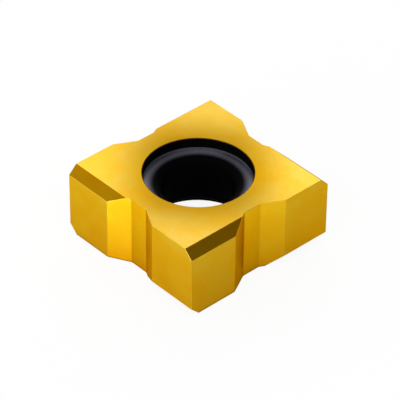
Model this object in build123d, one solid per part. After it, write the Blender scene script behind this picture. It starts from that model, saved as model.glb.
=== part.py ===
from math import radians, tan
import os

from build123d import *

# A square indexable cutting insert: one pressed and sintered carbide body, ground and then coated.
# It is double sided. Half of each side slopes to a land at the upper seat face and the other half at
# the lower one, so the insert looks the same after a quarter turn about Z or half a turn about X.
# The origin is the centre of the screw hole on the lower seat face, and the sides lie along X and Y.

# Driving dimensions in millimetres and degrees
side_length = 12.70
thickness = 5.56
nose_radius = 0.04

flute_mouth = 4.68
flute_depth = 0.87
flute_flank_angle = 28.5
flute_lip_radius = 0.25
flute_floor_radius = 0.40

land_width = 0.68
land_drop = 0.67

bore_diameter = 5.16
recess_diameter = 7.80
recess_depth = 0.90
recess_corner = 0.10
shoulder_radius = 0.70

edge_hone = 0.03
rim_chamfer = 0.05

# Values worked out from the driving dimensions
half_side = side_length / 2
lip_offset = flute_mouth / 2
floor_offset = lip_offset - flute_depth / tan(radians(flute_flank_angle))
bore_radius = bore_diameter / 2
recess_radius = recess_diameter / 2
quarter_turns = [Rot(0, 0, 90 * quarter) for quarter in range(4)]
turned_over = Pos(0, 0, thickness) * Rot(180, 0, 0)


def plan_outline():
    """The insert seen from above: a square with one flute across the middle of each side."""
    front_side = [
        (-half_side, -half_side),
        (-lip_offset, -half_side),
        (-floor_offset, -half_side + flute_depth),
        (floor_offset, -half_side + flute_depth),
        (lip_offset, -half_side),
    ]
    radii = [nose_radius, flute_lip_radius, flute_floor_radius, flute_floor_radius, flute_lip_radius]
    corners = [Vector(*corner).rotate(Axis.Z, 90 * side) for side in range(4) for corner in front_side]
    return make_face(FilletPolyline(*corners, radius=4 * radii, close=True))


def land_cutter():
    """The wedge that slopes the front side's upper edge from the left corner into the flute."""
    slope = Polyline(
        (-half_side - land_width, thickness - 2 * land_drop),
        (-half_side + 2 * land_width, thickness + land_drop),
        (-half_side - land_width, thickness + land_drop),
        close=True,
    )
    return extrude(Plane.YZ * make_face(slope), -side_length)


def hole_cutter():
    """The screw hole, which opens into a recess for the screw head at each seat face."""
    lower_half = [
        (0, 0),
        (recess_radius, 0),
        (recess_radius, recess_depth - recess_corner),
        (recess_radius - recess_corner, recess_depth),
        (bore_radius, recess_depth),
    ]
    upper_half = [(radius, thickness - height) for radius, height in reversed(lower_half)]
    radii = [0, 0, 0, shoulder_radius]
    section = FilletPolyline(*lower_half, *upper_half, radius=radii + radii[::-1], close=False)
    return revolve(Plane.XZ * make_face(section + Line(section @ 1, section @ 0)), Axis.Z)


def honed_body():
    """The outlined block with its eight lands. A light hone rounds the edges that cut or bear."""
    block = extrude(plan_outline(), thickness)
    cutters = [turn * land_cutter() for turn in quarter_turns]
    block -= cutters + [turned_over * cutter for cutter in cutters]
    seats = block.faces().filter_by(Plane.XY)
    lands = block.faces().filter_by(lambda face: round(face.normal_at().Z, 3) not in (-1, 0, 1))
    crisp_edges = lands.edges() & seats.edges()
    honed_edges = block.edges() - block.edges().filter_by(Axis.Z) - crisp_edges
    return fillet(honed_edges, edge_hone)


def cutting_insert():
    """The honed body with its screw hole, and a small chamfer on the hole's two mouths."""
    body = honed_body() - hole_cutter()
    level_faces = body.faces().filter_by(Plane.XY).sort_by(Axis.Z)
    mouths = level_faces[0].inner_wires() + level_faces[-1].inner_wires()
    return chamfer(mouths.edges(), rim_chamfer)


os.makedirs("parts", exist_ok=True)
insert_body = cutting_insert()
export_step(insert_body, "parts/insert_body.step")
print(f"insert_body: {insert_body.volume:.1f} mm3")
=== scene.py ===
from math import cos, radians, sin
import bmesh
import bpy
from mathutils import Matrix, Vector


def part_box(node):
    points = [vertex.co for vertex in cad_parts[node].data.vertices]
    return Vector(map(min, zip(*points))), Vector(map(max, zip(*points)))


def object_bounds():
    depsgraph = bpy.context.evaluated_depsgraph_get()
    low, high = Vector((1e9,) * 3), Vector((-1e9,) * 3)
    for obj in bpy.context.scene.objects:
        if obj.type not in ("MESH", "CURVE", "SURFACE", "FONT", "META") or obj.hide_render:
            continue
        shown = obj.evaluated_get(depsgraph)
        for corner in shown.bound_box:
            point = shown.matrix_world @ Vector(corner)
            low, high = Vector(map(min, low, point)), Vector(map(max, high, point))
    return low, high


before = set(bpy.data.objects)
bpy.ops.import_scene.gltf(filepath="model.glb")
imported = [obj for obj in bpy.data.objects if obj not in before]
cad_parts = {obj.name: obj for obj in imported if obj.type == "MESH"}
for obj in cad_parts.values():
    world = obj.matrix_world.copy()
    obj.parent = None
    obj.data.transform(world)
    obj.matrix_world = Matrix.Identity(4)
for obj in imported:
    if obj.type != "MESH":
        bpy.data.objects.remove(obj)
cad_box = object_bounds()

# Insert body
# One pressed and sintered carbide block. Its seats, sides and lands are ground and then coated
# with a thin gold-coloured hard layer, and the screw hole is masked, so it stays bare and dark, and
# its bore is painted near black for the shade in the deep hole.


class Value:
    """A node socket that takes part in Python sums, such as 1 - mask * 0.3."""

    def __init__(self, tree, socket=None):
        self.tree = tree
        self.socket = socket

    def node(self, kind, settings=(), sockets=(), output=0):
        """Add a node, set its settings, and then give its input sockets their values or links."""
        made = self.tree.nodes.new(kind)
        for name, setting in dict(settings).items():
            setattr(made, name, setting)
        for name, value in dict(sockets).items():
            if isinstance(value, Value):
                self.tree.links.new(value.socket, made.inputs[name])
            else:
                made.inputs[name].default_value = value
        return Value(self.tree, made.outputs[output] if made.outputs else None)

    def sum(self, operation, *numbers):
        """The result of this Math operation on these numbers."""
        return self.node("ShaderNodeMath", {"operation": operation}, enumerate(numbers))

    def __add__(self, other):
        return self.sum("ADD", self, other)

    def __radd__(self, other):
        return self.sum("ADD", other, self)

    def __sub__(self, other):
        return self.sum("SUBTRACT", self, other)

    def __rsub__(self, other):
        return self.sum("SUBTRACT", other, self)

    def __mul__(self, other):
        return self.sum("MULTIPLY", self, other)

    def __rmul__(self, other):
        return self.sum("MULTIPLY", other, self)

    def rise(self, low, high):
        """A smooth step from 0 where this value is low to 1 where it is high."""
        ramp = {"interpolation_type": "SMOOTHSTEP"}
        return self.node("ShaderNodeMapRange", ramp, {"Value": self, "From Min": low, "From Max": high})

    def blend(self, first, second):
        """The first colour where this value is 0, and the second where it is 1."""
        # A Mix node's colours are its inputs 6 and 7, and the colour that it gives is its output 2
        return self.node("ShaderNodeMix", {"data_type": "RGBA"}, {0: self, 6: first, 7: second}, output=2)

    def tint(self, colour):
        """This colour times another one."""
        product = {"data_type": "RGBA", "blend_type": "MULTIPLY"}
        return self.node("ShaderNodeMix", product, {0: 1.0, 6: self, 7: colour}, output=2)


# The coat's colours. Painted shade darkens the gold near the hole and towards the lower seat.
seat_gold_shaded_inner = (0.432, 0.244, 0.015, 1)
seat_gold_outer = (0.752, 0.49, 0.075, 1)
wall_gold_upper = (0.785, 0.475, 0.026, 1)
wall_gold_shaded_lower = (0.64, 0.345, 0.010, 1)
# Painted light: the flute floors and flanks are lighter copies of the gold, for the light that falls on them.
flute_gold_lit_upper = (0.90, 0.525, 0.012, 1)
flute_gold_shaded_lower = (0.60, 0.30, 0.004, 1)
flank_gold_lit_upper = (0.94, 0.575, 0.014, 1)
flank_gold_shaded_lower = (0.62, 0.31, 0.004, 1)
# Painted shade: the lands are a darker copy of the gold.
land_gold_shaded = (0.375, 0.184, 0.002, 1)
# Painted highlight: the honed edges are a paler gold.
hone_gold_highlight = (0.80, 0.53, 0.06, 1)
nose_gold = (0.68, 0.395, 0.014, 1)
# Painted shadow: the gold darkens along the lower edge, where the insert meets the floor.
lower_edge_painted_shadow = (0.62, 0.58, 0.6, 1)
orange_tint = (1.0, 0.94, 0.72, 1)
yellow_tint = (1.0, 1.05, 1.25, 1)

# The bare carbide in the hole: a grey ledge under the screw's head, and elsewhere near black, which is
# painted shade over the darker bare carbide.
ledge_grey = (0.175, 0.175, 0.22, 1)
bore_shade_black = (0.0015, 0.0015, 0.002, 1)

# The finish. Ground lines stretch the highlights across them.
coating_roughness = 0.38
hole_roughness = 0.5
seat_dulling = 0.03
roughness_change = 0.08
ground_finish = 0.85
quarter_turn = 0.25
edge_tint = (0.45, 0.28, 0.02, 1)
bare_gloss = 0.01
mottle_noise = {"Scale": 0.45, "Detail": 4.0, "Roughness": 0.6}
mottle_range = (0.35, 0.65)
line_noise = {"Scale": 7.0, "Detail": 2.0, "Roughness": 0.6}
line_length_share = 0.05
line_depth = 0.000006

# Where each kind of face starts. Flatness is 1 on a level face and 0 on an upright one, slant is 0
# on a side and 0.42 on a flute's flank, and the lengths are from the hole's axis or the lower seat.
seat_flatness = (0.80, 0.95)
land_flatness = (0.682, 0.702)
past_land_flatness = (0.722, 0.742)
hone_flatness = (0.02, 0.20)
nose_flatness = (0.1, 0.5)
ledge_flatness = (0.55, 1.0)
flank_slant = (0.20, 0.38)
ledge_mm = (3.05, 3.75)
recess_wall_mm = (3.89, 3.91)
mouth_mm = (3.90, 3.96)
seat_shade_mm = (3.3, 7.5)
past_flute_mm = (5.45, 6.3)
nose_mm = (8.935, 8.955)
painted_shadow_height_mm = (0.0, 0.22)
mm_per_metre = 1000
thickness_mm = cad_box[1][2] * mm_per_metre

coated_carbide = bpy.data.materials.new("coated_carbide")
coated_carbide.use_nodes = True
coated_carbide.node_tree.nodes.clear()
coat = Value(coated_carbide.node_tree)
place = coat.node("ShaderNodeTexCoord", output="Object")
place_mm = coat.node("ShaderNodeVectorMath", {"operation": "SCALE"}, {"Vector": place, "Scale": mm_per_metre})
flat_place = coat.node("ShaderNodeVectorMath", {"operation": "MULTIPLY"}, {0: place_mm, 1: (1, 1, 0)})
radius_mm = coat.node("ShaderNodeVectorMath", {"operation": "LENGTH"}, {0: flat_place}, output="Value")
height_mm = coat.node("ShaderNodeSeparateXYZ", (), {0: place_mm}, output="Z")
facing = coat.node("ShaderNodeTexCoord", output="Normal")
facing_x, facing_y, facing_z = (
    coat.node("ShaderNodeSeparateXYZ", (), {0: facing}, output=axis) for axis in "XYZ"
)
flatness = coat.sum("ABSOLUTE", facing_z)
slant = coat.sum("ABSOLUTE", facing_x * facing_y)
rise_up = height_mm * (1 / thickness_mm)

on_seat = flatness.rise(*seat_flatness)
on_land = flatness.rise(*land_flatness) * (1 - flatness.rise(*past_land_flatness))
on_hone = flatness.rise(*hone_flatness) * (1 - on_seat) * (1 - on_land)
on_nose = (1 - flatness.rise(*nose_flatness)) * radius_mm.rise(*nose_mm)
on_flank = slant.rise(*flank_slant)
in_flute = 1 - radius_mm.rise(*past_flute_mm)
in_recess = 1 - radius_mm.rise(*recess_wall_mm)
on_ledge = flatness.rise(*ledge_flatness) * radius_mm.rise(*ledge_mm) * in_recess
outside_hole = radius_mm.rise(*mouth_mm)

# Painted shade: the seat's gold darkens towards the hole.
seat_gold = radius_mm.rise(*seat_shade_mm).blend(seat_gold_shaded_inner, seat_gold_outer)
# Painted shade: the walls, flute floors and flanks darken towards the lower seat.
wall_gold = rise_up.blend(wall_gold_shaded_lower, wall_gold_upper)
flute_gold = rise_up.blend(flute_gold_shaded_lower, flute_gold_lit_upper)
flank_gold = rise_up.blend(flank_gold_shaded_lower, flank_gold_lit_upper)
# Painted light: lighter gold on the flute floors and flanks.
upright_gold = on_flank.blend(in_flute.blend(wall_gold, flute_gold), flank_gold)
# Painted shade: darker gold on the lands.
side_gold = on_land.blend(upright_gold, land_gold_shaded)
face_gold = on_nose.blend(on_seat.blend(side_gold, seat_gold), nose_gold)
# Painted highlight: paler gold on the honed edges.
plain_gold = on_hone.blend(face_gold, hone_gold_highlight)
mottle = coat.node("ShaderNodeTexNoise", (), {"Vector": place_mm, **mottle_noise})
mottled_gold = plain_gold.tint(mottle.rise(*mottle_range).blend(orange_tint, yellow_tint))
# Painted shadow along the lower edge, where the insert meets the floor.
coating = height_mm.rise(*painted_shadow_height_mm).blend(mottled_gold.tint(lower_edge_painted_shadow), mottled_gold)
# The bore's near black is painted shade over the bare carbide.
bare_and_shade = on_ledge.blend(bore_shade_black, ledge_grey)

along = coat.node("ShaderNodeVectorMath", {"operation": "SCALE"}, {0: flat_place, "Scale": line_length_share})


def ground_lines(across_mm):
    """Fine grinding lines that follow the level or the ring where across_mm stays the same."""
    across = coat.node("ShaderNodeCombineXYZ", (), {"Z": across_mm})
    where = coat.node("ShaderNodeVectorMath", {"operation": "ADD"}, {0: along, 1: across})
    return coat.node("ShaderNodeTexNoise", (), {"Vector": where, **line_noise})


side_lines = ground_lines(height_mm)
seat_lines = ground_lines(radius_mm)
lines = side_lines + on_seat * (seat_lines - side_lines)
metallic = coat.sum("MAXIMUM", outside_hole, on_ledge)
base_roughness = hole_roughness + metallic * (coating_roughness - hole_roughness) + on_seat * seat_dulling
# The lines and the mottling each lie round a half, so their sum less 1 lies round 0
unevenness = (lines + mottle - 1) * roughness_change
finish = {
    "Base Color": outside_hole.blend(bare_and_shade, coating),
    "Metallic": metallic,
    "Roughness": base_roughness + unevenness,
    "Normal": coat.node("ShaderNodeBump", (), {"Height": lines, "Distance": line_depth}),
    "Anisotropic": ground_finish,
    "Anisotropic Rotation": quarter_turn,
    "Specular Tint": edge_tint,
    "Specular IOR Level": bare_gloss,
}
surface = coat.node("ShaderNodeBsdfPrincipled", (), finish)
coat.node("ShaderNodeOutputMaterial", (), {"Surface": surface})

insert_body = bpy.data.objects["insert_body"]
insert_body.material_slots[0].material = coated_carbide

# Floor
# The plain pale paper that the insert lies on. It is painted paper with a glow of its own where the
# camera or a reflection sees it, so that it looks white and still keeps the insert's shadow.
floor_size = 4.0
seen_glow = 0.92
reflected_glow = 0.3
paper_white = (0.92, 0.92, 0.92, 1)
pure_white = (1, 1, 1, 1)

bm = bmesh.new()
bmesh.ops.create_grid(bm, x_segments=1, y_segments=1, size=floor_size / 2)
floor_mesh = bpy.data.meshes.new("floor")
bm.to_mesh(floor_mesh)
bm.free()
floor = bpy.data.objects.new("floor", floor_mesh)
bpy.context.collection.objects.link(floor)

floor_paper = bpy.data.materials.new("floor_paper")
floor_paper.use_nodes = True
floor_paper.node_tree.nodes.clear()
paper = Value(floor_paper.node_tree)
camera_ray = paper.node("ShaderNodeLightPath", output="Is Camera Ray")
glossy_ray = paper.node("ShaderNodeLightPath", output="Is Glossy Ray")
clear_ray = paper.node("ShaderNodeLightPath", output="Is Transmission Ray")
glow_share = camera_ray * seen_glow + (glossy_ray + clear_ray) * reflected_glow
paint = paper.node("ShaderNodeBsdfDiffuse", (), {"Color": paper_white})
glow = paper.node("ShaderNodeEmission", (), {"Color": pure_white})
mixed = paper.node("ShaderNodeMixShader", (), {0: glow_share, 1: paint, 2: glow})
paper.node("ShaderNodeOutputMaterial", (), {"Surface": mixed})
floor_mesh.materials.append(floor_paper)

# Studio light
# Wide soft lights round the table, each given by its turn from the camera to the right, its height,
# its spread in degrees and its strength. The rest of the room gives a low even light.
camera_azimuth = radians(47.43)
studio_lights = [
    (-40, 6, 25, 7.2),
    (-100, 6, 30, 3.05),
    (0, 58, 45, 1.71),
    (180, 6, 45, 2.18),
    (180, 32, 45, 0.77),
]
ambient = 0.3

studio = bpy.data.worlds.new("studio")
bpy.context.scene.world = studio
studio.use_nodes = True
studio.node_tree.nodes.clear()
room = Value(studio.node_tree)
direction = room.node("ShaderNodeTexCoord", output="Generated")
light = ambient
for round_deg, up_deg, spread_deg, strength in studio_lights:
    angle = camera_azimuth + radians(round_deg)
    level = cos(radians(up_deg))
    centre = (sin(angle) * level, -cos(angle) * level, sin(radians(up_deg)))
    ways = {0: direction, 1: centre}
    nearness = room.node("ShaderNodeVectorMath", {"operation": "DOT_PRODUCT"}, ways, output="Value")
    light = light + nearness.rise(cos(radians(spread_deg)), 1) * strength
background = room.node("ShaderNodeBackground", (), {"Color": pure_white, "Strength": light})
room.node("ShaderNodeOutputWorld", (), {"Surface": background})

# Camera
# A long lens above the front corner, turned to the photograph's viewing angle. It looks at the middle
# of the insert's box, moved a little so that the insert lies where the photograph has it.
camera_elevation = radians(38.01)
camera_roll = radians(0.52)
camera_distance = 0.19685
image_width = 400
focal_pixels = 2825
aim_right = 0.000137
aim_up = 0.000243
sensor_width = 36
nearest_seen = 0.01

insert_low, insert_high = (Vector(corner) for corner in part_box("insert_body"))
level = cos(camera_elevation)
towards_camera = Vector((sin(camera_azimuth) * level, -cos(camera_azimuth) * level, sin(camera_elevation)))
level_right = Vector((cos(camera_azimuth), sin(camera_azimuth), 0))
level_up = towards_camera.cross(level_right)
right = level_right * cos(camera_roll) + level_up * sin(camera_roll)
up = level_up * cos(camera_roll) - level_right * sin(camera_roll)
lens = bpy.data.cameras.new("camera")
lens.sensor_width = sensor_width
lens.lens = sensor_width * focal_pixels / image_width
lens.clip_start = nearest_seen
camera = bpy.data.objects.new("camera", lens)
bpy.context.collection.objects.link(camera)
turn = Matrix((right, up, towards_camera)).transposed().to_4x4()
stand = (insert_low + insert_high) / 2 + right * aim_right + up * aim_up + towards_camera * camera_distance
camera.matrix_world = Matrix.Translation(stand) @ turn
bpy.context.scene.camera = camera
bpy.context.scene.view_settings.view_transform = "Standard"
